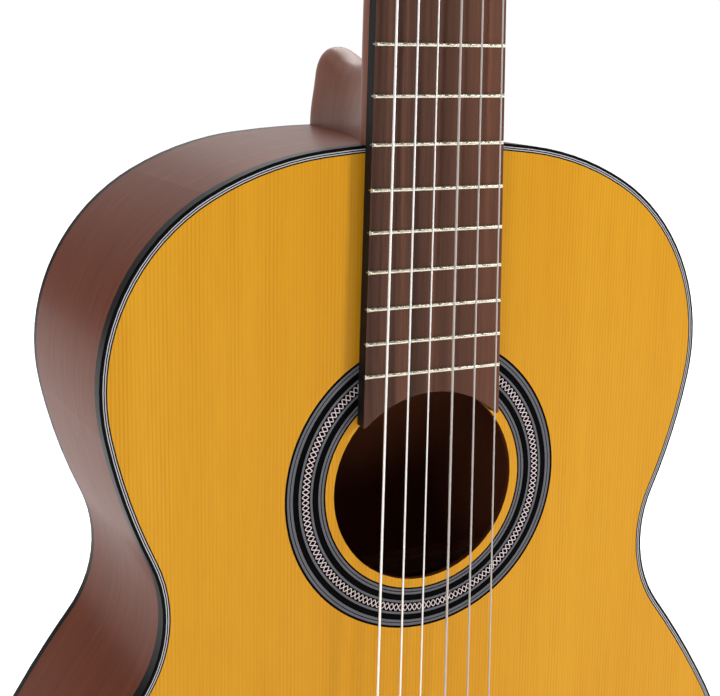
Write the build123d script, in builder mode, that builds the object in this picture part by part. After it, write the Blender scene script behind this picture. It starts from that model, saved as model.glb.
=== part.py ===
"""Classical guitar: hollow spruce-topped body, slotted head, six geared tuners, six strings.

Millimetres. +Z runs from the tail of the body up the neck to the head, the soundboard faces -Y
and +X is the treble side. z = 0 is the tail, y = 0 is halfway through the body at the tail.
"""

import os
from math import atan2, cos, degrees, hypot, pi, radians, sin, sqrt, tan

from build123d import *

os.makedirs("parts", exist_ok=True)

# ---- main sizes ----
SCALE = 650.0
BODY_LENGTH = 490.6
JOINT_Z = 490.0
NECK_DEPTH = 104.0
TAIL_DEPTH = 110.0
TOP_Y = -TAIL_DEPTH / 2
NUT_Z = JOINT_Z + SCALE / 2
SIDES = {"bass": -1, "treble": 1}

# body outline from the neck joint round to the tail: (radius, sweep); negative at the waist
OUTLINE = [
    (401.0, 7.0),
    (129.5, 22.6),
    (87.2, 72.0),
    (242.0, 13.2),
    (-55.4, 62.4),
    (424.0, 8.06),
]
LOWER_BOUT_SWEEP = 90.0

# shell and edge trim
TOP_THICK = 2.6
BACK_THICK = 2.6
SIDE_THICK = 2.2
BINDING = 1.3
TOP_BINDING_TALL = 6.5
BACK_BINDING_TALL = 4.5
PURFLING_DEEP = 1.5
WHITE_LINES = [(1.3, 1.65), (2.15, 2.5)]
BLACK_LINES = [(1.65, 2.15), (2.5, 3.1)]
EDGE_TRIM = 3.1
GRAFT_WIDE = 14.0
LINING = 7.6

# soundhole and rosette rings
HOLE_Z = JOINT_Z - 146.5
HOLE_R = 42.8
ROSETTE_DEEP = 1.2
DARK_RINGS = [(46.7, 47.4), (48.4, 48.8), (49.8, 52.5), (58.7, 61.3), (62.4, 62.8), (63.9, 64.9)]
LIGHT_RINGS = [(47.4, 48.4), (48.8, 49.8), (52.5, 53.5), (57.7, 58.7), (61.3, 62.4), (62.8, 63.9)]
MOSAIC_RING = (53.5, 57.7)

# fingerboard, frets, nut and neck
BOARD_THICK = 6.0
BOARD_AT_NUT = 51.0
BOARD_AT_JOINT = 61.2
BOARD_END_DROP = 3.1
BOARD_END_R = 45.2
FRET_COUNT = 18
FRET_WIDE = 1.9
FRET_TALL = 1.0
NUT_LONG = 6.0
NUT_TALL = 9.0

# strings, bass to treble: radius, place across the nut and across the saddle
STRING_R = [0.545, 0.435, 0.36, 0.51, 0.41, 0.355]
NUT_X = [-18.6, -10.2, -1.8, 6.8, 15.2, 23.6]
SADDLE_X = [-28.5, -17.2, -7.0, 5.6, 17.5, 28.9]
NUT_RISE = 7.5
SADDLE_RISE = 12.8

# bridge
SADDLE_Z = NUT_Z - SCALE - 1.5
BRIDGE_HALF = 93.0
BRIDGE_TALL = 8.6
WING_TALL = 3.4
TIE_HALF = 41.0
TIE_WIDE = 11.5
TIE_HOLE_RISE = 3.6
TIE_HOLE_R = 0.95
SADDLE_THICK = 2.5

# head and tuners
HEAD_TILT = 15.0
HEAD_HALF = 35.0
HEAD_LONG = 188.0
HEAD_THICK = 17.0
VENEER = 2.0
SLOT_X = 15.75
SLOT_WIDE = 14.5
SLOT_FROM = 12.5
SLOT_TO = 142.0
SLOT_CORNER = 4.5
ROLLER_U = [50.0, 85.0, 120.0]
WRAP_X = [21.0, 20.0, 19.0]
ROLLER_N = -9.0
ROLLER_R = 5.0
RUNNING = 0.05
AXLE_R = 2.5
PLATE_THICK = 1.2
GEAR_OUT = 4.0
GEAR_WIDE = 3.6
TEETH = 14
WORM_PITCH = 2.6
GEAR_PITCH_R = TEETH * WORM_PITCH / (2 * pi)
WORM_PITCH_R = 2.8
WORM_AWAY = GEAR_PITCH_R + WORM_PITCH_R
WORM_HALF = 4.4
SHAFT_R = 1.6


def outline_arcs(inset):
    """Arcs of the treble half outline as (start, middle, end) in x and z, shrunk by inset."""

    def out(heading):
        return sin(radians(heading)), -cos(radians(heading))

    x, z, heading, chain = 0.0, BODY_LENGTH, 0.0, []

    def step(radius, sweep):
        nonlocal x, z, heading
        side = 1 if radius > 0 else -1
        nx, nz = out(heading)
        cx, cz = x + radius * nx, z + radius * nz
        points = []
        for part in (0.0, 0.5, 1.0):
            mx, mz = out(heading - side * sweep * part)
            points.append((cx - (radius - inset) * mx, cz - (radius - inset) * mz))
        heading -= side * sweep
        nx, nz = out(heading)
        x, z = cx - radius * nx, cz - radius * nz
        chain.append(points)

    for radius, sweep in OUTLINE:
        step(radius, sweep)
    last_sweep = 180.0 + heading - LOWER_BOUT_SWEEP
    n0, n1, n2 = (out(heading - a) for a in (0.0, LOWER_BOUT_SWEEP, LOWER_BOUT_SWEEP + last_sweep))
    a, b = n0[0] - n1[0], n1[0] - n2[0]
    c, d = n0[1] - n1[1], n1[1] - n2[1]
    lower = (-x * d + z * b) / (a * d - b * c)
    tail = (-a * z + c * x) / (a * d - b * c)
    step(lower, LOWER_BOUT_SWEEP)
    step(tail, last_sweep)
    return chain


def body_shape(inset):
    """Face of the whole body outline, shrunk by inset."""
    with BuildSketch() as shape:
        with BuildLine():
            for start, middle, end in outline_arcs(inset):
                ThreePointArc(start, middle, end)
                ThreePointArc((-start[0], start[1]), (-middle[0], middle[1]), (-end[0], end[1]))
        make_face()
    return shape.sketch


def deep(distance):
    """Plane facing the front, this far behind the soundboard's face."""
    return Plane.XZ.offset(-TOP_Y - distance)


def back_y(z, inset=0.0):
    """Where the flat, slightly tapering back lies, less inset."""
    return TOP_Y + TAIL_DEPTH - (TAIL_DEPTH - NECK_DEPTH) * z / BODY_LENGTH - inset


def keep_before_back(front, inset):
    """Trim the part to the space from this depth behind the soundboard's face to the back."""
    with BuildSketch(Plane.YZ) as region:
        Polygon(
            (TOP_Y + front, -5),
            (back_y(-5, inset), -5),
            (back_y(BODY_LENGTH + 5, inset), BODY_LENGTH + 5),
            (TOP_Y + front, BODY_LENGTH + 5),
            align=None,
        )
    extrude(region.sketch, amount=250, both=True, mode=Mode.INTERSECT)


def keep_back_slab(outer, inner):
    """Trim the part to a slab parallel to the back, between two insets from it."""
    with BuildSketch(Plane.YZ) as region:
        Polygon(
            (back_y(-5, inner), -5),
            (back_y(-5, outer), -5),
            (back_y(BODY_LENGTH + 5, outer), BODY_LENGTH + 5),
            (back_y(BODY_LENGTH + 5, inner), BODY_LENGTH + 5),
            align=None,
        )
    extrude(region.sketch, amount=250, both=True, mode=Mode.INTERSECT)


FULL = body_shape(0)
IN_BINDING = body_shape(BINDING)
IN_TRIM = body_shape(EDGE_TRIM)
IN_SIDE = body_shape(SIDE_THICK)
IN_LINING = body_shape(LINING)
IN_LINING_LOW = body_shape(LINING / 2 + 1)


def board_half(z):
    """Half the fingerboard's width at this height."""
    rate = (BOARD_AT_JOINT - BOARD_AT_NUT) / (NUT_Z - JOINT_Z)
    return (BOARD_AT_NUT + rate * (NUT_Z - z)) / 2


# ---- soundbox ----
with BuildPart() as soundboard:
    with BuildSketch(deep(0)):
        add(IN_TRIM)
    extrude(amount=-PURFLING_DEEP)
    with BuildSketch(deep(PURFLING_DEEP)):
        add(IN_BINDING)
    extrude(amount=-(TOP_THICK - PURFLING_DEEP))
    with BuildSketch(deep(-1)):
        with Locations((0, HOLE_Z)):
            Circle(HOLE_R)
    extrude(amount=-TOP_THICK - 2, mode=Mode.SUBTRACT)
    with BuildSketch(deep(-1)):
        with Locations((0, HOLE_Z)):
            Circle(DARK_RINGS[-1][1])
            Circle(DARK_RINGS[0][0], mode=Mode.SUBTRACT)
    extrude(amount=-ROSETTE_DEEP - 1, mode=Mode.SUBTRACT)
soundboard.part.label = "soundboard"
export_step(soundboard.part, "parts/soundboard.step")

black_lines = [(body_shape(a), body_shape(b)) for a, b in BLACK_LINES]
white_lines = [(body_shape(a), body_shape(b)) for a, b in WHITE_LINES]

with BuildPart() as top_binding:
    with BuildSketch(deep(0)):
        add(FULL)
        add(IN_BINDING, mode=Mode.SUBTRACT)
    extrude(amount=-TOP_BINDING_TALL)
    front = top_binding.faces().sort_by(Axis.Y)[0]
    chamfer(front.outer_wire().edges(), 0.45)
    for wide, narrow in black_lines:
        with BuildSketch(deep(0)):
            add(wide)
            add(narrow, mode=Mode.SUBTRACT)
        extrude(amount=-PURFLING_DEEP)
top_binding.part.label = "top_binding"
export_step(top_binding.part, "parts/top_binding.step")

with BuildPart() as top_purfling:
    for wide, narrow in white_lines:
        with BuildSketch(deep(0)):
            add(wide)
            add(narrow, mode=Mode.SUBTRACT)
        extrude(amount=-PURFLING_DEEP)
top_purfling.part.label = "top_purfling"
export_step(top_purfling.part, "parts/top_purfling.step")

with BuildPart() as back_plate:
    with BuildSketch(deep(90)):
        add(IN_BINDING)
    extrude(amount=-30)
    keep_back_slab(0, BACK_THICK)
back_plate.part.label = "back_plate"
export_step(back_plate.part, "parts/back_plate.step")

with BuildPart() as back_binding:
    with BuildSketch(deep(90)):
        add(FULL)
        add(IN_BINDING, mode=Mode.SUBTRACT)
    extrude(amount=-30)
    keep_back_slab(0, BACK_BINDING_TALL)
back_binding.part.label = "back_binding"
export_step(back_binding.part, "parts/back_binding.step")


def rib(keep_x, keep_wide, keep_z=BODY_LENGTH / 2, keep_tall=BODY_LENGTH + 20):
    """Bent side wood with ledges for both bindings, kept inside a box seen from the front."""
    with BuildSketch(deep(TOP_THICK)) as wood:
        add(FULL)
        add(IN_SIDE, mode=Mode.SUBTRACT)
    extrude(wood.sketch, amount=-TAIL_DEPTH)
    keep_before_back(TOP_THICK, BACK_THICK)
    with BuildSketch(deep(0)) as ledge:
        add(FULL)
        add(IN_BINDING, mode=Mode.SUBTRACT)
    extrude(ledge.sketch, amount=-TOP_BINDING_TALL, mode=Mode.SUBTRACT)
    add(back_binding.part, mode=Mode.SUBTRACT)
    with BuildSketch(deep(0)) as kept:
        with Locations((keep_x, keep_z)):
            Rectangle(keep_wide, keep_tall)
    extrude(kept.sketch, amount=-TAIL_DEPTH - 5, mode=Mode.INTERSECT)


with BuildPart() as side_treble:
    rib(125, 250)
    with BuildSketch(deep(0)):
        with Locations((0, 0)):
            Rectangle(GRAFT_WIDE, 40)
    extrude(amount=-TAIL_DEPTH - 5, mode=Mode.SUBTRACT)
side_treble.part.label = "side_treble"
export_step(side_treble.part, "parts/side_treble.step")

with BuildPart() as side_bass:
    add(side_treble.part.mirror(Plane.YZ))
side_bass.part.label = "side_bass"
export_step(side_bass.part, "parts/side_bass.step")

with BuildPart() as end_graft:
    rib(0, GRAFT_WIDE, 0, 40)
end_graft.part.label = "end_graft"
export_step(end_graft.part, "parts/end_graft.step")


def rings(radii):
    """Flat rings let into the soundboard round the soundhole."""
    for inner, outer in radii:
        with BuildSketch(deep(0)) as band:
            with Locations((0, HOLE_Z)):
                Circle(outer)
                Circle(inner, mode=Mode.SUBTRACT)
        extrude(band.sketch, amount=-ROSETTE_DEEP)


with BuildPart() as rosette_dark:
    rings(DARK_RINGS)
rosette_dark.part.label = "rosette_dark"
export_step(rosette_dark.part, "parts/rosette_dark.step")

with BuildPart() as rosette_light:
    rings(LIGHT_RINGS)
rosette_light.part.label = "rosette_light"
export_step(rosette_light.part, "parts/rosette_light.step")

with BuildPart() as rosette_mosaic:
    rings([MOSAIC_RING])
rosette_mosaic.part.label = "rosette_mosaic"
export_step(rosette_mosaic.part, "parts/rosette_mosaic.step")

# ---- inside the soundbox ----
BLOCK_HALF = 33.0
HEEL_BLOCK_LONG = 40.0
TAIL_BLOCK_LONG = 18.0
BAR_WIDE = 6.0
BAR_TALL = 15.0
STRUT_WIDE = 4.5
STRUT_TALL = 4.0
UPPER_BARS = [HOLE_Z + 56.0, HOLE_Z - 56.0]
FAN_TOP = HOLE_Z - 59.5
FAN_FOOT = 44.0
BACK_BARS = [425.0, 267.5, 120.0]


def block(z, tall):
    """Solid block between top and back, up against the sides."""
    with BuildSketch(deep(TOP_THICK)) as wood:
        add(IN_SIDE)
        with Locations((0, z)):
            Rectangle(2 * BLOCK_HALF, tall, mode=Mode.INTERSECT)
    extrude(wood.sketch, amount=-TAIL_DEPTH)
    keep_before_back(TOP_THICK, BACK_THICK)


with BuildPart() as heel_block:
    block(BODY_LENGTH, 2 * HEEL_BLOCK_LONG)
heel_block.part.label = "heel_block"
export_step(heel_block.part, "parts/heel_block.step")

with BuildPart() as tail_block:
    block(0, 2 * TAIL_BLOCK_LONG)
tail_block.part.label = "tail_block"
export_step(tail_block.part, "parts/tail_block.step")

with BuildPart() as linings:
    for low, front, thick in ((IN_LINING, TOP_THICK, 5.0), (IN_LINING_LOW, TOP_THICK + 5.0, 6.0)):
        with BuildSketch(deep(front)):
            add(IN_SIDE)
            add(low, mode=Mode.SUBTRACT)
        extrude(amount=-thick)
    with BuildSketch(deep(0)):
        with Locations((0, BODY_LENGTH), (0, 0)):
            Rectangle(2 * BLOCK_HALF, 90)
    extrude(amount=-TAIL_DEPTH, mode=Mode.SUBTRACT)
linings.part.label = "linings"
export_step(linings.part, "parts/linings.step")

with BuildPart() as soundhole_patch:
    with BuildSketch(deep(TOP_THICK)):
        with Locations((0, HOLE_Z)):
            Circle(72)
            Rectangle(150, 2 * 50, mode=Mode.INTERSECT)
            Circle(HOLE_R + 1.2, mode=Mode.SUBTRACT)
    extrude(amount=-1.6)
soundhole_patch.part.label = "soundhole_patch"
export_step(soundhole_patch.part, "parts/soundhole_patch.step")

with BuildPart() as top_braces:
    with BuildSketch(deep(TOP_THICK)) as bars:
        for z in UPPER_BARS:
            with Locations((0, z)):
                Rectangle(400, BAR_WIDE)
        add(IN_LINING, mode=Mode.INTERSECT)
    extrude(amount=-BAR_TALL)
    with BuildSketch(deep(TOP_THICK)):
        for i in range(-3, 4):
            top_x, foot_x = 12.0 * i, 33.0 * i
            length = hypot(top_x - foot_x, FAN_TOP - FAN_FOOT) - 6 * abs(i)
            lean = degrees(atan2(foot_x - top_x, FAN_TOP - FAN_FOOT))
            with Locations(Location(((top_x + foot_x) / 2, (FAN_TOP + FAN_FOOT) / 2 + 3 * abs(i)))):
                Rectangle(STRUT_WIDE, length, rotation=lean)
        Rectangle(400, 2 * FAN_TOP, mode=Mode.INTERSECT)
    extrude(amount=-STRUT_TALL)
top_braces.part.label = "top_braces"
export_step(top_braces.part, "parts/top_braces.step")

with BuildPart() as back_strip:
    with BuildSketch(deep(60)):
        for low, high in ((TAIL_BLOCK_LONG, BACK_BARS[2]), (BACK_BARS[2], BACK_BARS[1])):
            with Locations((0, (low + high) / 2)):
                Rectangle(14, high - low)
    extrude(amount=-60)
    keep_back_slab(BACK_THICK, BACK_THICK + 2)

with BuildPart() as back_braces:
    with BuildSketch(deep(60)):
        for z in BACK_BARS:
            with Locations((0, z)):
                Rectangle(400, BAR_WIDE + 2)
        add(IN_SIDE, mode=Mode.INTERSECT)
    extrude(amount=-60)
    keep_back_slab(BACK_THICK, BACK_THICK + 13)
    add(back_strip.part)
back_braces.part.label = "back_braces"
export_step(back_braces.part, "parts/back_braces.step")

# ---- neck, fingerboard, frets and nut ----
# heel sections: depth behind the soundboard's face, half width, height above the body joint,
# fullness of the shoulders
HEEL = [
    (8.0, 27.5, 72.0, 0.71),
    (15.0, 25.5, 55.0, 0.71),
    (24.0, 22.5, 41.0, 0.71),
    (38.0, 18.8, 33.2, 0.72),
    (58.0, 15.0, 30.8, 0.74),
    (78.0, 12.4, 33.0, 0.77),
    (91.0, 11.0, 36.6, 0.77),
    (98.5, 10.5, 36.0, 0.77),
    (NECK_DEPTH - 0.5, 9.8, 32.5, 0.76),
]
# neck sections: height above the body joint, depth, roundness of the back's corners
NECK = [(-4.0, 18.2, 0.74), (110.0, 17.4, 0.74), (290.0, 15.6, 0.76), (332.0, 17.0, 0.93)]
HEAD = Plane(
    origin=(0, TOP_Y, NUT_Z + NUT_LONG),
    x_dir=(1, 0, 0),
    z_dir=(0, -cos(radians(HEAD_TILT)), sin(radians(HEAD_TILT))),
)


def head_point(x, u, n):
    """Point x across, u up and n in front of the head's face."""
    return HEAD.from_local_coords(Vector(x, u, n))


with BuildPart() as heel:
    for depth, half, rise, full in HEEL:
        with BuildSketch(deep(depth)):
            with BuildLine():
                foot = JOINT_Z - 6
                Line((-half, foot), (half, foot))
                for s in (1, -1):
                    Line((s * half, foot), (s * half, JOINT_Z))
                    Spline(
                        (s * half, JOINT_Z),
                        (s * half * full, JOINT_Z + rise * (1.18 - 0.67 * full)),
                        (0, JOINT_Z + rise),
                        tangents=[(0, 1), (-s, 0)],
                    )
            make_face()
    loft()

with BuildPart() as neck:
    for rise, thick, corner in NECK:
        half = board_half(JOINT_Z + min(rise, SCALE / 2))
        with BuildSketch(Plane.XY.offset(JOINT_Z + rise)):
            with BuildLine():
                Line((-half, TOP_Y), (half, TOP_Y))
                for s in (1, -1):
                    Line((s * half, TOP_Y), (s * half, TOP_Y + 1.5))
                    Spline(
                        (s * half, TOP_Y + 1.5),
                        (s * half * corner, TOP_Y + 1.5 + (thick - 1.5) * corner),
                        (0, TOP_Y + thick),
                        tangents=[(0, 1), (-s, 0)],
                    )
            make_face()
    loft()
    add(heel.part)
    with BuildSketch(deep(-5)):
        add(FULL)
    extrude(amount=-TAIL_DEPTH - 10, mode=Mode.SUBTRACT)
    split(bisect_by=Plane(origin=HEAD.origin, z_dir=HEAD.y_dir), keep=Keep.BOTTOM)
neck.part.label = "neck"
export_step(neck.part, "parts/neck.step")


with BuildPart() as fingerboard:
    with BuildSketch(deep(-BOARD_THICK)):
        low = HOLE_Z + 20
        Polygon(
            (-board_half(NUT_Z), NUT_Z),
            (board_half(NUT_Z), NUT_Z),
            (board_half(low), low),
            (-board_half(low), low),
            align=None,
        )
        with Locations((0, HOLE_Z - BOARD_END_DROP)):
            Circle(BOARD_END_R, mode=Mode.SUBTRACT)
    extrude(amount=-BOARD_THICK)
    tips = fingerboard.edges().filter_by(Axis.Y).sort_by(Axis.Z)[:2]
    fillet(tips, 0.8)
    with BuildSketch(deep(-BOARD_THICK)):
        for n in range(1, FRET_COUNT + 1):
            with Locations((0, NUT_Z - SCALE * (1 - 2 ** (-n / 12)))):
                Rectangle(80, 0.6)
    extrude(amount=-1.8, mode=Mode.SUBTRACT)
fingerboard.part.label = "fingerboard"
export_step(fingerboard.part, "parts/fingerboard.step")

with BuildPart() as frets:
    board_y = TOP_Y - BOARD_THICK
    for n in range(1, FRET_COUNT + 1):
        z = NUT_Z - SCALE * (1 - 2 ** (-n / 12))
        with BuildSketch(Plane.YZ):
            with Locations((board_y, z)):
                Ellipse(FRET_TALL, FRET_WIDE / 2)
            with Locations((board_y + 5, z)):
                Rectangle(10, 10, mode=Mode.SUBTRACT)
            with Locations((board_y + 0.9, z)):
                Rectangle(1.8, 0.6)
        extrude(amount=board_half(z), both=True)
    for s in (1, -1):
        for z in (NUT_Z, HOLE_Z + 30):
            half = board_half(z)
            with BuildSketch(Plane.XY.offset(z)):
                Polygon(
                    (s * half, board_y),
                    (s * (half + 5), board_y),
                    (s * (half + 5), board_y - 2),
                    (s * (half - 1.3), board_y - 2),
                    align=None,
                )
        loft(mode=Mode.SUBTRACT, ruled=True)
frets.part.label = "frets"
export_step(frets.part, "parts/frets.step")

# ---- string runs ----
STRING_NAMES = ["low_e", "a", "d", "g", "b", "high_e"]
SADDLE_Y = TOP_Y - SADDLE_RISE
TIE_BACK = SADDLE_Z - 22.0
TIE_FRONT = TIE_BACK + TIE_WIDE


def roller_of(index):
    """Side and roller number that take this string."""
    if index < 3:
        return "bass", index
    return "treble", 5 - index


def string_run(index):
    """Points of one string: tie end, round the tie block, saddle, nut, roller."""
    r = STRING_R[index]
    saddle_x = SADDLE_X[index]
    top = TOP_Y - BRIDGE_TALL - 0.35 - r
    hole = TOP_Y - TIE_HOLE_RISE
    behind = TIE_BACK - 0.35 - r
    nut = Vector(NUT_X[index], TOP_Y - NUT_RISE - r - 0.05, NUT_Z + 0.6)
    side, row = roller_of(index)
    local = HEAD.to_local_coords(nut)
    du, dn = ROLLER_U[row] - local.Y, ROLLER_N - local.Z
    away = hypot(du, dn)
    reach = ROLLER_R + r + 0.08
    turn = atan2(dn, du) + atan2(reach, sqrt(away**2 - reach**2))
    run = sqrt(away**2 - reach**2)
    end = head_point(
        SIDES[side] * WRAP_X[row], local.Y + run * cos(turn), local.Z + run * sin(turn)
    )
    bend = SADDLE_THICK / 2 + r + 0.03
    return [
        Vector(saddle_x, top, TIE_FRONT - 3),
        Vector(saddle_x, top, behind),
        Vector(saddle_x, hole, behind),
        Vector(saddle_x, hole, TIE_FRONT + 1.2),
        Vector(saddle_x, SADDLE_Y + SADDLE_THICK / 2 - bend, SADDLE_Z - bend * tan(radians(25))),
        nut,
        end,
    ]


with BuildPart() as nut:
    with BuildSketch(Plane.YZ):
        with BuildLine():
            FilletPolyline(
                (TOP_Y, NUT_Z),
                (TOP_Y, NUT_Z + NUT_LONG),
                (TOP_Y - NUT_TALL + 2.6, NUT_Z + NUT_LONG),
                (TOP_Y - NUT_TALL, NUT_Z + 3.2),
                (TOP_Y - NUT_TALL, NUT_Z),
                radius=0.3,
                close=True,
            )
        make_face()
    extrude(amount=board_half(NUT_Z), both=True)
    for index in range(6):
        points = string_run(index)
        r = STRING_R[index]
        for start, end, long in ((points[4], points[5], 0), (points[5], points[6], NUT_LONG + 2)):
            along = (end - start).normalized()
            begin = start if long else end - along * 3
            with BuildSketch(Plane(origin=begin, x_dir=(1, 0, 0), z_dir=along)):
                with Locations((0, r + 0.12 - 5)):
                    Rectangle(2 * r + 0.4, 10)
            extrude(amount=long or 3.1, mode=Mode.SUBTRACT)
nut.part.label = "nut"
export_step(nut.part, "parts/nut.step")

# ---- head ----
with BuildSketch() as head_shape:
    with BuildLine():
        half = board_half(NUT_Z)
        Line((-half, 0), (half, 0))
        for s in (1, -1):
            Spline((s * half, 0), (s * HEAD_HALF, 20), tangents=[(0, 1), (0, 1)])
            Line((s * HEAD_HALF, 20), (s * HEAD_HALF, HEAD_LONG - 20))
            ThreePointArc(
                (s * HEAD_HALF, HEAD_LONG - 20),
                (s * (HEAD_HALF - 2.2), HEAD_LONG - 15),
                (s * (HEAD_HALF - 7), HEAD_LONG - 12.5),
            )
            Spline(
                (s * (HEAD_HALF - 7), HEAD_LONG - 12.5),
                (s * 14, HEAD_LONG - 4),
                (0, HEAD_LONG),
                tangents=[(-s, 0.15), (-s, 0)],
            )
    make_face()
    with Locations((SLOT_X, (SLOT_FROM + SLOT_TO) / 2), (-SLOT_X, (SLOT_FROM + SLOT_TO) / 2)):
        RectangleRounded(SLOT_WIDE, SLOT_TO - SLOT_FROM, SLOT_CORNER, mode=Mode.SUBTRACT)

SCREW_U = [27.0, 64.0, 99.0, 137.0]
SCREW_R = 1.1

with BuildPart() as headstock:
    with BuildSketch(HEAD):
        add(head_shape.sketch)
    extrude(amount=-HEAD_THICK)
    for s in (1, -1):
        for u in ROLLER_U:
            outside = head_point(s * (HEAD_HALF + 1), u, ROLLER_N)
            with BuildSketch(Plane(origin=outside, z_dir=(-s, 0, 0))):
                Circle(ROLLER_R + RUNNING)
            extrude(amount=HEAD_HALF - 3, mode=Mode.SUBTRACT)
        for u in SCREW_U:
            outside = head_point(s * (HEAD_HALF + 1), u, ROLLER_N)
            with BuildSketch(Plane(origin=outside, z_dir=(-s, 0, 0))):
                Circle(SCREW_R)
            extrude(amount=10, mode=Mode.SUBTRACT)
headstock.part.label = "headstock"
export_step(headstock.part, "parts/headstock.step")

with BuildPart() as head_veneer:
    with BuildSketch(HEAD):
        add(head_shape.sketch)
    extrude(amount=VENEER)
    chamfer(head_veneer.faces().sort_by(Axis.Y)[0].outer_wire().edges().sort_by(Axis.Z)[1:], 0.4)
    split(bisect_by=Plane(origin=(0, 0, NUT_Z + NUT_LONG), z_dir=(0, 0, 1)), keep=Keep.TOP)
head_veneer.part.label = "head_veneer"
export_step(head_veneer.part, "parts/head_veneer.step")

# ---- bridge and saddle ----
with BuildPart() as bridge:
    with BuildSketch(Plane.YZ):
        rises = [
            (0, TIE_BACK),
            (BRIDGE_TALL, TIE_BACK),
            (BRIDGE_TALL, TIE_FRONT),
            (2.4, TIE_FRONT),
            (2.4, SADDLE_Z - 3.6),
            (BRIDGE_TALL, SADDLE_Z - 3.6),
            (BRIDGE_TALL, SADDLE_Z + 3.4),
            (WING_TALL, SADDLE_Z + 7.0),
            (0, SADDLE_Z + 7.0),
        ]
        Polygon(*[(TOP_Y - rise, z) for rise, z in rises], align=None)
        with Locations((TOP_Y - 8, SADDLE_Z)):
            Rectangle(10, SADDLE_THICK, mode=Mode.SUBTRACT)
    extrude(amount=TIE_HALF, both=True)
    for s in (1, -1):
        with BuildSketch(deep(0)):
            with Locations((s * (TIE_HALF + BRIDGE_HALF) / 2, SADDLE_Z - 7.5)):
                RectangleRounded(BRIDGE_HALF - TIE_HALF, 28.6, 4)
            with Locations((s * (TIE_HALF + 5), SADDLE_Z - 7.5)):
                Rectangle(10, 28.6)
        extrude(amount=WING_TALL)
    chamfer(bridge.edges().group_by(Axis.Y)[0].filter_by(Axis.X), 0.5)
    for index in range(6):
        x = string_run(index)[2].X
        with BuildSketch(Plane((x, TOP_Y - TIE_HOLE_RISE, TIE_BACK - 1), z_dir=(0, 0, 1))):
            Circle(TIE_HOLE_R)
        extrude(amount=TIE_WIDE + 2, mode=Mode.SUBTRACT)
bridge.part.label = "bridge"
export_step(bridge.part, "parts/bridge.step")

with BuildPart() as saddle:
    with BuildSketch(Plane.YZ):
        with BuildLine():
            base, crest = TOP_Y - 3.0, SADDLE_Y
            low, high = SADDLE_Z - SADDLE_THICK / 2, SADDLE_Z + SADDLE_THICK / 2
            Polyline((crest + 1.25, low), (base, low), (base, high), (crest + 1.25, high))
            ThreePointArc((crest + 1.25, low), (crest, SADDLE_Z), (crest + 1.25, high))
        make_face()
    extrude(amount=TIE_HALF - 1, both=True)
saddle.part.label = "saddle"
export_step(saddle.part, "parts/saddle.step")

# ---- strings ----
for index, name in enumerate(STRING_NAMES):
    points = string_run(index)
    with BuildPart() as string:
        with BuildLine() as run:
            FilletPolyline(*points, radius=1.4)
        with BuildSketch(Plane(origin=points[0], z_dir=points[1] - points[0])):
            Circle(STRING_R[index])
        sweep(path=run.line)
    string.part.label = f"string_{name}"
    export_step(string.part, f"parts/string_{name}.step")

# ---- tuners ----
PLATE_X = HEAD_HALF + PLATE_THICK
GEAR_X = PLATE_X + GEAR_OUT
TAB_N = [WORM_HALF + 0.4, WORM_HALF + 1.8]

with BuildPart() as worm_thread:
    with BuildLine(Plane.XY.offset(-2 * WORM_PITCH)) as path:
        Helix(WORM_PITCH, 4 * WORM_PITCH, SHAFT_R)
    start = path.line @ 0
    with BuildSketch(Plane(origin=start, x_dir=(1, 0, 0), z_dir=path.line % 0)):
        tooth_side = [(-0.4, -0.62), (0.25, -0.6), (1.95, -0.2)]
        Polygon(*tooth_side, *[(x, -y) for x, y in reversed(tooth_side)], align=None)
    sweep(path=path.line, is_frenet=True)
    Cylinder(SHAFT_R + 0.25, 4 * WORM_PITCH)
    Cylinder(SHAFT_R + 1.95, 2 * WORM_HALF, mode=Mode.INTERSECT)

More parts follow.
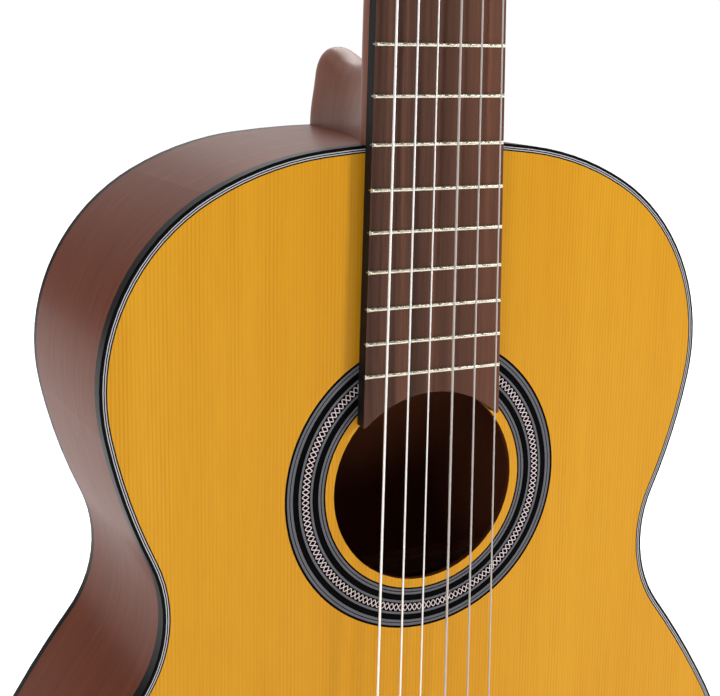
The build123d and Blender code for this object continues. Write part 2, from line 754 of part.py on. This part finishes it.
for side, s in SIDES.items():
    with BuildPart() as tuner_plate:
        face = Plane(origin=head_point(s * HEAD_HALF, 0, 0), x_dir=HEAD.y_dir * s, z_dir=(s, 0, 0))
        with BuildSketch(face):
            with Locations((s * 82, ROLLER_N)):
                RectangleRounded(122, 16, 3.5)
            for u in ROLLER_U:
                with Locations((s * u, ROLLER_N)):
                    Circle(AXLE_R + RUNNING, mode=Mode.SUBTRACT)
            for u in SCREW_U:
                with Locations((s * u, ROLLER_N)):
                    Circle(SCREW_R, mode=Mode.SUBTRACT)
        extrude(amount=PLATE_THICK)
        for u in ROLLER_U:
            for t in (1, -1):
                low, high = sorted((t * TAB_N[0], t * TAB_N[1]))
                tab_foot = head_point(0, u - WORM_AWAY, ROLLER_N + low)
                with BuildSketch(Plane(origin=tab_foot, x_dir=(1, 0, 0), z_dir=HEAD.z_dir)):
                    with Locations((s * (PLATE_X + 3.4), -0.3)):
                        Rectangle(7.0, 7.2)
                    with Locations((s * (PLATE_X + 4.5), -0.3)):
                        RectangleRounded(6.6, 7.2, 2.2)
                    with Locations((s * GEAR_X, 0)):
                        Circle(SHAFT_R + RUNNING, mode=Mode.SUBTRACT)
                extrude(amount=high - low)
    tuner_plate.part.label = f"tuner_plate_{side}"
    export_step(tuner_plate.part, f"parts/tuner_plate_{side}.step")

    for row, u in enumerate(ROLLER_U):
        name = f"{side}_{row + 1}"
        with BuildPart() as string_roller:
            barrel = (4.4, HEAD_HALF - 0.3, ROLLER_R)
            axle = (HEAD_HALF - 0.3, GEAR_X + GEAR_WIDE / 2, AXLE_R)
            for inner, outer, r in (barrel, axle):
                with BuildSketch(Plane(origin=head_point(s * inner, u, ROLLER_N), z_dir=(s, 0, 0))):
                    Circle(r)
                extrude(amount=outer - inner)
            with BuildSketch(Plane(origin=head_point(s * WRAP_X[row], u, ROLLER_N), z_dir=HEAD.y_dir)):
                Circle(0.8)
            extrude(amount=ROLLER_R + 1, both=True, mode=Mode.SUBTRACT)
        string_roller.part.label = f"string_roller_{name}"
        export_step(string_roller.part, f"parts/string_roller_{name}.step")

        with BuildPart() as roller_gear:
            middle = Plane(origin=head_point(s * GEAR_X, u, ROLLER_N), x_dir=HEAD.y_dir, z_dir=(1, 0, 0))
            with BuildSketch(middle):
                points = []
                for tooth in range(TEETH):
                    centre = 180 + (tooth + 0.5) * 360 / TEETH
                    for r, turn in ((4.75, -8.1), (6.45, -2.2), (6.45, 2.2), (4.75, 8.1)):
                        angle = radians(centre + turn)
                        points.append((r * cos(angle), r * sin(angle)))
                Polygon(*points, align=None)
                Circle(AXLE_R, mode=Mode.SUBTRACT)
            extrude(amount=GEAR_WIDE / 2, both=True)
            with BuildSketch(middle.offset(s * GEAR_WIDE / 2)):
                Circle(3.6)
                Rectangle(8, 0.7, mode=Mode.SUBTRACT)
            extrude(amount=s * 1.0)
            with BuildSketch(middle.offset(s * GEAR_WIDE / 2)):
                Circle(3.6)
            extrude(amount=s * 0.4)
        roller_gear.part.label = f"roller_gear_{name}"
        export_step(roller_gear.part, f"parts/roller_gear_{name}.step")

        worm_middle = head_point(s * GEAR_X, u - WORM_AWAY, ROLLER_N)
        axis = Plane(origin=worm_middle, x_dir=HEAD.y_dir, z_dir=HEAD.z_dir)
        with BuildPart(axis) as worm_shaft:
            add(worm_thread.part)
            shaft = (TAB_N[1] + 0.8, -22.0, SHAFT_R)
            collar = (-TAB_N[1] - 0.4, -TAB_N[1] - 1.8, 2.5)
            for high, low, r in (shaft, collar):
                with BuildSketch(axis.offset(low)):
                    Circle(r)
                extrude(amount=high - low)
        worm_shaft.part.label = f"worm_shaft_{name}"
        export_step(worm_shaft.part, f"parts/worm_shaft_{name}.step")

        with BuildPart() as tuner_button:
            with BuildSketch(Plane(origin=axis.origin, x_dir=HEAD.y_dir, z_dir=(1, 0, 0))):
                with Locations((0, -22.5)):
                    RectangleRounded(16, 17, 5)
                with Locations((0, -15.6)):
                    Rectangle(7, 6)
            extrude(amount=3.6, both=True)
            fillet(tuner_button.edges().filter_by(GeomType.LINE, reverse=True).group_by(Axis.X)[0], 1.2)
            fillet(tuner_button.edges().filter_by(GeomType.LINE, reverse=True).group_by(Axis.X)[-1], 1.2)
            with BuildSketch(axis.offset(-22.0)):
                Circle(SHAFT_R)
            extrude(amount=12, mode=Mode.SUBTRACT)
        tuner_button.part.label = f"tuner_button_{name}"
        export_step(tuner_button.part, f"parts/tuner_button_{name}.step")

with BuildPart() as plate_screws:
    for s in (1, -1):
        for u in SCREW_U:
            seat = head_point(s * PLATE_X, u, ROLLER_N)
            outer = Plane(origin=seat, x_dir=HEAD.y_dir, z_dir=(s, 0, 0))
            with BuildSketch(outer):
                Circle(2.4)
            extrude(amount=1.1)
            with BuildSketch(outer.offset(1.1)):
                Rectangle(6, 0.6)
            extrude(amount=-0.6, mode=Mode.SUBTRACT)
            with BuildSketch(outer):
                Circle(SCREW_R)
            extrude(amount=-PLATE_THICK - 7)
plate_screws.part.label = "plate_screws"
export_step(plate_screws.part, "parts/plate_screws.step")
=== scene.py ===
"""Looks of a classical guitar: procedural wood, lacquer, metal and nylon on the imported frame."""

from math import pi, radians

import bpy
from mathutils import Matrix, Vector


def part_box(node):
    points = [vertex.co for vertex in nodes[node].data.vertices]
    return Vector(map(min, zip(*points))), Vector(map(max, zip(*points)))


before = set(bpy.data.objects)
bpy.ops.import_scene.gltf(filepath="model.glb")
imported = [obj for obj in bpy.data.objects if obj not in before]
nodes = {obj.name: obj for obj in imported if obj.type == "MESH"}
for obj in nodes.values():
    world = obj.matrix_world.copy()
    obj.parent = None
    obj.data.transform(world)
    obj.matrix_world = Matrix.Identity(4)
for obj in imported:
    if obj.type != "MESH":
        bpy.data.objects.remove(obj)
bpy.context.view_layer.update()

# ---- places read from the CAD, in metres ----
MOSAIC_WIDE = 0.0042
ring_low, ring_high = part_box("rosette_mosaic")
HOLE = (ring_low + ring_high) / 2
MOSAIC_OUT = (ring_high.x - ring_low.x) / 2
MOSAIC_IN = MOSAIC_OUT - MOSAIC_WIDE
WAIST = Vector((0, 0, 0.30))

# ---- sizes of the fine patterns, in metres ----
GRAIN_WANDER = 0.004
MOSAIC_EDGE = 0.0004
RING_LINE_PITCH = 0.00034
WINDING_PITCH = 0.00032

# growth lines: radians of their wave per metre across the grain, and how far it strays
GRAIN_WAVE = 3900.0
GRAIN_STRAY = 22.0
MOSAIC_REPEATS = 152

# ---- colours, linear red, green and blue ----
AMBER = (0.62, 0.275, 0.006)
AMBER_DARK = (0.52, 0.205, 0.003)
AMBER_PALE = (0.68, 0.325, 0.012)
SIDE_RED = (0.180, 0.043, 0.015)
SIDE_DARK = (0.135, 0.031, 0.012)
NECK_BROWN = (0.235, 0.078, 0.042)
NECK_DARK = (0.180, 0.056, 0.030)
ROSEWOOD = (0.115, 0.050, 0.032)
ROSEWOOD_DARK = (0.050, 0.022, 0.015)
ROSEWOOD_WARM = (0.190, 0.070, 0.038)
ROSEWOOD_PORE = (0.02, 0.01, 0.008)
BOARD_EDGE = (0.012, 0.010, 0.010)
SIDE_FACE_DARK = (0.10, 0.028, 0.010)
BARE_WOOD = (0.50, 0.31, 0.17)
BARE_DARK = (0.36, 0.20, 0.10)
BLOCK_WOOD = (0.42, 0.22, 0.11)
BLOCK_DARK = (0.30, 0.15, 0.07)
INSIDE_RED = (0.34, 0.11, 0.05)
BONE = (0.80, 0.74, 0.60)
BONE_PALE = (0.82, 0.77, 0.64)
BONE_DARK = (0.74, 0.66, 0.50)
RING_GREY = (0.19, 0.20, 0.21)
RING_LINE_DARK = (0.055, 0.055, 0.062)
RING_LINE_PALE = (0.20, 0.20, 0.225)
MOSAIC_BLACK = (0.002, 0.001, 0.001)
MOSAIC_PALE = (0.74, 0.62, 0.62)
PEARL = (0.85, 0.83, 0.78)
PEARL_PALE = (0.86, 0.84, 0.80)
PEARL_GREY = (0.62, 0.60, 0.56)
FLOOR_WHITE = (0.93, 0.93, 0.93)
FLOOR_GREY = (0.90, 0.90, 0.91)

# lacquer over the reddish brown woods: its weight and roughness, and the wood's own sheen
COAT = 0.045
COAT_ROUGH = 0.14
SHEEN = 0.05


class Shader:
    """A node material with short calls for adding and joining nodes."""

    def __init__(self, name, color, **settings):
        self.material = bpy.data.materials.new(name)
        self.material.use_nodes = True
        self.tree = self.material.node_tree
        self.surface = self.tree.nodes["Principled BSDF"]
        self.place = self.tree.nodes.new("ShaderNodeTexCoord").outputs["Object"]
        self.surface.inputs["Base Color"].default_value = (*color, 1)
        for key, value in settings.items():
            self.surface.inputs[key.replace("_", " ")].default_value = value

    def add(self, kind, inputs, out=0, **props):
        """A node with its inputs linked or set; returns one of its outputs."""
        node = self.tree.nodes.new(kind)
        for key, value in props.items():
            setattr(node, key, value)
        for key, value in inputs.items():
            if isinstance(value, bpy.types.NodeSocket):
                self.tree.links.new(value, node.inputs[key])
            else:
                node.inputs[key].default_value = value
        return node.outputs[out]

    def math(self, operation, a, b=0.0):
        return self.add("ShaderNodeMath", {0: a, 1: b}, operation=operation)

    def vector(self, operation, a, b=(0, 0, 0), out=0):
        return self.add("ShaderNodeVectorMath", {0: a, 1: b}, out, operation=operation)

    def xyz(self, vector=None):
        node = self.tree.nodes.new("ShaderNodeSeparateXYZ")
        self.tree.links.new(vector or self.place, node.inputs[0])
        return node.outputs

    def noise(self, scale, detail=3.0, roughness=0.5, distortion=0.0):
        """Noise whose features are 1/scale metres long along x, y and z."""
        inputs = {
            "Vector": self.vector("MULTIPLY", self.place, scale),
            "Scale": 1.0,
            "Detail": detail,
            "Roughness": roughness,
            "Distortion": distortion,
        }
        return self.add("ShaderNodeTexNoise", inputs)

    def spread(self, value, low, high, to_low=0.0, to_high=1.0):
        """The value mapped from low..high to to_low..to_high and clamped there."""
        inputs = {
            "Value": value,
            "From Min": low,
            "From Max": high,
            "To Min": to_low,
            "To Max": to_high,
        }
        return self.add("ShaderNodeMapRange", inputs)

    def mix(self, factor, a, b):
        node = self.tree.nodes.new("ShaderNodeMix")
        node.data_type = "RGBA"
        for socket, value in ((node.inputs[0], factor), (node.inputs[6], a), (node.inputs[7], b)):
            if isinstance(value, bpy.types.NodeSocket):
                self.tree.links.new(value, socket)
            else:
                socket.default_value = (*value, 1)
        return node.outputs[2]

    def drive(self, **sockets):
        """Link outputs to the named inputs of the surface."""
        for key, socket in sockets.items():
            self.tree.links.new(socket, self.surface.inputs[key.replace("_", " ")])
        return self

    def bump(self, height, distance, strength):
        inputs = {"Height": height, "Distance": distance, "Strength": strength}
        return self.drive(Normal=self.add("ShaderNodeBump", inputs))

    def true_normal(self):
        return self.tree.nodes.new("ShaderNodeNewGeometry").outputs["True Normal"]

    def from_hole(self):
        """Place measured from the middle of the soundhole, flat in the soundboard."""
        return self.vector("MULTIPLY", self.vector("SUBTRACT", self.place, HOLE), (1, 0, 1))


# ---- woods ----
def spruce():
    """Amber lacquered spruce: straight grain up the body, silky marks, darker reddish brown side
    faces, bare inside.
    """
    s = Shader(
        "spruce_top",
        AMBER,
        Specular_IOR_Level=0.1,
        Coat_Weight=0.1,
        Coat_Roughness=0.12,
    )
    wander = s.noise((9, 9, 3.0), 2)
    across = s.math("ADD", s.xyz()[0], s.math("MULTIPLY", wander, GRAIN_WANDER))
    stray = s.math("MULTIPLY", s.noise((16, 0, 0.6), 1), GRAIN_STRAY)
    wave = s.math("SINE", s.math("ADD", s.math("MULTIPLY", across, GRAIN_WAVE), stray))
    fade = s.spread(s.noise((120, 0, 4), 2), 0.3, 0.7, 0.15, 1.0)
    line = s.math("MULTIPLY", s.spread(wave, 0.2, 1.0), fade)
    broad = s.spread(s.noise((22, 0, 1.4), 3, 0.6), 0.3, 0.7)
    silk = s.noise((500, 0, 40), 3, 0.6)
    color = s.mix(broad, AMBER, AMBER_PALE)
    color = s.mix(s.math("MULTIPLY", line, 0.75), color, AMBER_DARK)
    color = s.mix(s.spread(silk, 0.45, 0.75, 0.0, 0.25), color, AMBER_DARK)
    facing = s.xyz(s.true_normal())[1]
    inner = s.spread(facing, 0.4, 0.6)
    # faces turned sideways, the soundhole rim among them, are made dark reddish brown
    color = s.mix(s.spread(facing, -0.7, -0.4), color, SIDE_FACE_DARK)
    color = s.mix(inner, color, BARE_WOOD)
    s.drive(Base_Color=color, Roughness=s.spread(inner, 0.0, 1.0, 0.40, 0.75))
    relief = s.math("SUBTRACT", s.math("MULTIPLY", silk, 0.3), line)
    return s.bump(relief, distance=0.00002, strength=0.35)


def lacquered(name, along, across, dark, light, coat=COAT, coat_rough=COAT_ROUGH, sheen=SHEEN):
    """Reddish brown lacquered wood: the shader and its colour, with the grain along one way."""
    s = Shader(
        name,
        light,
        Specular_IOR_Level=sheen,
        Coat_Weight=coat,
        Coat_Roughness=coat_rough,
    )
    figure = s.noise(along, 4, 0.6, 0.6)
    pores = s.noise(across, 4, 0.7)
    color = s.mix(s.spread(figure, 0.3, 0.72), dark, light)
    color = s.mix(s.spread(pores, 0.5, 0.78, 0.0, 0.3), color, dark)
    s.drive(Base_Color=color, Roughness=s.spread(pores, 0.3, 0.8, 0.34, 0.46))
    s.bump(pores, distance=0.00003, strength=0.25)
    return s, color


def shell(name, along, across):
    """Side and back wood: lacquered outside, plain and paler where it faces into the body."""
    s, color = lacquered(name, along, across, SIDE_DARK, SIDE_RED)
    outward = s.vector("DOT_PRODUCT", s.true_normal(), s.vector("SUBTRACT", s.place, WAIST), 1)
    inner = s.spread(outward, 0.002, -0.002)
    return s.drive(
        Base_Color=s.mix(inner, color, INSIDE_RED),
        Coat_Weight=s.spread(inner, 0.0, 1.0, COAT, 0.0),
    )


def board_wood():
    """Oiled rosewood: long dark and warm streaks, open pores, dark side edges, and painted light
    warming it toward the right.
    """
    s = Shader("rosewood", ROSEWOOD, Specular_IOR_Level=0.12)
    streak = s.noise((170, 170, 3.2), 4, 0.62, 0.5)
    fine = s.noise((900, 900, 14), 3, 0.6)
    pores = s.noise((2400, 2400, 70), 2)
    color = s.mix(s.spread(streak, 0.36, 0.66), ROSEWOOD_DARK, ROSEWOOD)
    color = s.mix(s.spread(streak, 0.58, 0.75, 0.0, 0.7), color, ROSEWOOD_WARM)
    color = s.mix(s.spread(fine, 0.5, 0.75, 0.0, 0.55), color, ROSEWOOD_DARK)
    color = s.mix(s.spread(pores, 0.62, 0.72, 0.0, 0.6), color, ROSEWOOD_PORE)
    # painted light: the wood turns warmer and lighter toward +x, the side the key lamp lights from
    color = s.mix(s.spread(s.xyz()[0], -0.012, 0.03, 0.0, 0.4), color, ROSEWOOD_WARM)
    edge = s.math("ABSOLUTE", s.xyz(s.true_normal())[0])
    color = s.mix(s.spread(edge, 0.6, 0.8), color, BOARD_EDGE)
    s.drive(Base_Color=color, Roughness=s.spread(fine, 0.3, 0.7, 0.42, 0.6))
    open_pores = s.math("MULTIPLY", s.spread(pores, 0.62, 0.72), -1.0)
    return s.bump(open_pores, distance=0.00005, strength=0.6)


def bare(name, color, dark, grain):
    """Unfinished wood, as inside the body."""
    s = Shader(name, color, Roughness=0.8)
    lines = s.noise(grain, 3, 0.6)
    s.drive(Base_Color=s.mix(s.spread(lines, 0.35, 0.7), color, dark))
    return s.bump(lines, distance=0.00004, strength=0.4)


# ---- bone, rosette, metal and plastic ----
def creamy_bone():
    s = Shader("bone", BONE, Roughness=0.3, Subsurface_Weight=0.15)
    return s.drive(Base_Color=s.mix(s.noise((300, 300, 300)), BONE_PALE, BONE_DARK))


def rosette_grey():
    """Bands of hair-thin grey and black lines round the hole."""
    s = Shader("rosette_grey", RING_GREY, Roughness=0.5, Specular_IOR_Level=0.03)
    radius = s.vector("LENGTH", s.from_hole(), out=1)
    lines = s.math("SINE", s.math("MULTIPLY", radius, 2 * pi / RING_LINE_PITCH))
    return s.drive(Base_Color=s.mix(s.spread(lines, -0.6, 0.6), RING_LINE_DARK, RING_LINE_PALE))


def mosaic():
    """A pale lattice of crossed lines on black, repeated round the ring."""
    s = Shader("rosette_mosaic", MOSAIC_BLACK, Roughness=0.5, Specular_IOR_Level=0.02)
    flat = s.from_hole()
    x, _, z = s.xyz(flat)
    radius = s.vector("LENGTH", flat, out=1)
    around = s.math("MULTIPLY", s.math("ARCTAN2", z, x), MOSAIC_REPEATS / (2 * pi))
    through = s.spread(radius, MOSAIC_IN + MOSAIC_EDGE, MOSAIC_OUT - MOSAIC_EDGE)
    lines = []
    for slope in (1.0, -1.0):
        slant = s.math("ADD", around, s.math("MULTIPLY", through, slope))
        away = s.math("ABSOLUTE", s.math("SUBTRACT", s.math("FRACT", slant), 0.5))
        lines.append(s.spread(away, 0.12, 0.07))
    inside = s.math("MULTIPLY", s.spread(through, 0.0, 0.08), s.spread(through, 1.0, 0.92))
    lattice = s.math("MULTIPLY", s.math("MAXIMUM", *lines), inside)
    return s.drive(Base_Color=s.mix(lattice, MOSAIC_BLACK, MOSAIC_PALE))


def metal(name, color, roughness, scratch=(400, 400, 4000)):
    """Metal with fine scratches along one direction."""
    s = Shader(name, color, Metallic=1.0)
    marks = s.noise(scratch, 3, 0.6)
    return s.drive(Roughness=s.spread(marks, 0.3, 0.7, roughness * 0.8, roughness * 1.3))


def wound():
    """Silver-plated winding: fine ridges along the string."""
    s = Shader("wound_string", (0.93, 0.92, 0.90), Metallic=0.75, Roughness=0.42)
    ridge = s.math("SINE", s.math("MULTIPLY", s.xyz()[2], 2 * pi / WINDING_PITCH))
    return s.bump(ridge, distance=0.00003, strength=0.5)


def pearl():
    """Pearly plastic with soft cloudy bands."""
    s = Shader("button_plastic", PEARL, Roughness=0.2, Coat_Weight=0.7)
    cloud = s.spread(s.noise((160, 160, 160), 3, 0.6, 1.5), 0.35, 0.7)
    return s.drive(Base_Color=s.mix(cloud, PEARL_PALE, PEARL_GREY))


spruce_top = spruce()
side_wood = shell("rib_wood", (14, 260, 14), (60, 1500, 60))
back_wood = shell("back_wood", (120, 120, 6), (1500, 1500, 60))
neck_wood, _ = lacquered(
    "neck_wood",
    (130, 130, 7),
    (1600, 1600, 60),
    NECK_DARK,
    NECK_BROWN,
    coat=0.06,
    coat_rough=0.3,
    sheen=0.15,
)
rosewood = board_wood()
inner_wood = bare("inner_wood", BARE_WOOD, BARE_DARK, (60, 60, 900))
end_grain = bare("inner_blocks", BLOCK_WOOD, BLOCK_DARK, (900, 900, 60))

black_trim = Shader(
    "black_binding", (0.003, 0.003, 0.003), Roughness=0.35, Specular_IOR_Level=0.04
)
white_line = Shader("white_line", (0.50, 0.49, 0.53), Roughness=0.45)
rosette_black = Shader(
    "rosette_black", (0.002, 0.002, 0.002), Roughness=0.5, Specular_IOR_Level=0.015
)
bone = creamy_bone()
fret_metal = metal("fret_metal", (0.66, 0.62, 0.50), 0.26, (700, 200, 200))
tuner_metal = metal("tuner_metal", (0.72, 0.70, 0.64), 0.16)
gear_brass = metal("gear_brass", (0.72, 0.50, 0.20), 0.28)
wound_string = wound()
nylon_string = Shader(
    "nylon_string", (0.72, 0.66, 0.62), Roughness=0.18, IOR=1.52, Transmission_Weight=0.35
)
button_plastic = pearl()
roller_plastic = Shader("roller_plastic", (0.80, 0.78, 0.72), Roughness=0.35)

# ---- which node wears which finish, by the start of its name; the first match counts ----
FINISH = {
    "soundboard": spruce_top,
    "back_plate": back_wood,
    "side_": side_wood,
    "top_binding": black_trim,
    "back_binding": black_trim,
    "end_graft": black_trim,
    "top_purfling": white_line,
    "rosette_dark": rosette_black,
    "rosette_light": rosette_grey(),
    "rosette_mosaic": mosaic(),
    "linings": inner_wood,
    "top_braces": inner_wood,
    "back_braces": inner_wood,
    "soundhole_patch": inner_wood,
    "heel_block": end_grain,
    "tail_block": end_grain,
    "neck": neck_wood,
    "headstock": neck_wood,
    "head_veneer": rosewood,
    "fingerboard": rosewood,
    "bridge": rosewood,
    "frets": fret_metal,
    "nut": bone,
    "saddle": bone,
    "string_roller": roller_plastic,
    "string_low_e": wound_string,
    "string_a": wound_string,
    "string_d": wound_string,
    "string_": nylon_string,
    "plate_screws": tuner_metal,
    "tuner_plate": tuner_metal,
    "worm_shaft": tuner_metal,
    "roller_gear": gear_brass,
    "tuner_button": button_plastic,
}
for name, node in nodes.items():
    finish = next(shader for start, shader in FINISH.items() if name.startswith(start))
    node.data.materials.clear()
    node.data.materials.append(finish.material)

# ---- studio ----
# camera: place in metres, turn about x, y and z in degrees, lens and sensor in millimetres
CAMERA_AT = (-0.2867, -0.58555, 0.53761)
CAMERA_TURN = (79.4807, -1.2046, -27.4811)
CAMERA_LENS = 72.99
CAMERA_SENSOR = 36.0
CAMERA_SHIFT = (-0.0719, -0.0728)

# lights: name, place, where it points, width and height, power in watts
LIGHTS = [
    ("key", (1.35, -1.25, 1.3), (0, 0, 0.4), (0.35, 0.35), 25),
    ("fill", (-1.52, -1.3, 0.8), (0, 0, 0.35), (0.35, 0.35), 4.5),
    ("top", (0.1, 0.1, 2.6), (0, 0, 0.4), (1.6, 1.2), 4),
    ("floor_light", (1.3, 2.4, 2.4), (1.1, 1.6, 0), (2.4, 1.6), 60),
]
FLOOR_SIZE = 12
FLOOR_GAP = 0.0005


def area(name, at, look, size, power):
    """A rectangular lamp aimed at a point."""
    light = bpy.data.objects.new(name, bpy.data.lights.new(name, "AREA"))
    light.data.shape = "RECTANGLE"
    light.data.size, light.data.size_y = size
    light.data.energy = power
    light.location = at
    light.rotation_euler = (Vector(look) - Vector(at)).to_track_quat("-Z", "Y").to_euler()
    bpy.context.scene.collection.objects.link(light)


def sky():
    """White behind, above and to the right, dimmer low on the left and dim in front."""
    world = bpy.data.worlds.new("studio")
    bpy.context.scene.world = world
    world.use_nodes = True
    tree = world.node_tree
    background = tree.nodes["Background"]
    place = tree.nodes.new("ShaderNodeTexCoord").outputs["Generated"]
    split = tree.nodes.new("ShaderNodeSeparateXYZ")
    tree.links.new(place, split.inputs[0])

    def ramp(value, low, high, to_low, to_high):
        node = tree.nodes.new("ShaderNodeMapRange")
        node.interpolation_type = "SMOOTHSTEP"
        node.inputs["From Min"].default_value = low
        node.inputs["From Max"].default_value = high
        node.inputs["To Min"].default_value = to_low
        node.inputs["To Max"].default_value = to_high
        tree.links.new(value, node.inputs["Value"])
        return node.outputs[0]

    def join(operation, a, b):
        node = tree.nodes.new("ShaderNodeMath")
        node.operation = operation
        tree.links.new(a, node.inputs[0])
        tree.links.new(b, node.inputs[1])
        return node.outputs[0]

    across, depth, height = split.outputs
    right = ramp(across, -0.3, 0.15, 0.3, 1.0)
    above = ramp(height, 0.1, 0.4, 0.0, 1.0)
    behind = ramp(depth, -0.35, 0.35, 0.06, 1.02)
    strength = join("MULTIPLY", behind, join("MAXIMUM", right, above))
    tree.links.new(strength, background.inputs["Strength"])
    background.inputs["Color"].default_value = (1, 1, 1, 1)


def pale_floor():
    """A wide pale floor just under the tail, not part of the guitar."""
    s = Shader(
        "floor_paint",
        FLOOR_WHITE,
        Roughness=0.9,
        Emission_Color=(1, 1, 1, 1),
        Emission_Strength=0.5,
    )
    s.drive(Base_Color=s.mix(s.noise((3, 3, 3)), FLOOR_WHITE, FLOOR_GREY))
    bpy.ops.mesh.primitive_plane_add(size=FLOOR_SIZE, location=(0, 0, -FLOOR_GAP))
    floor = bpy.context.object
    floor.name = "floor"
    floor.data.materials.append(s.material)


for lamp in LIGHTS:
    area(*lamp)
sky()
pale_floor()

camera = bpy.data.objects.new("camera", bpy.data.cameras.new("camera"))
camera.data.lens = CAMERA_LENS
camera.data.sensor_width = CAMERA_SENSOR
camera.data.shift_x, camera.data.shift_y = CAMERA_SHIFT
camera.location = CAMERA_AT
camera.rotation_euler = [radians(turn) for turn in CAMERA_TURN]
bpy.context.scene.collection.objects.link(camera)
bpy.context.scene.camera = camera
bpy.context.scene.view_settings.view_transform = "Standard"
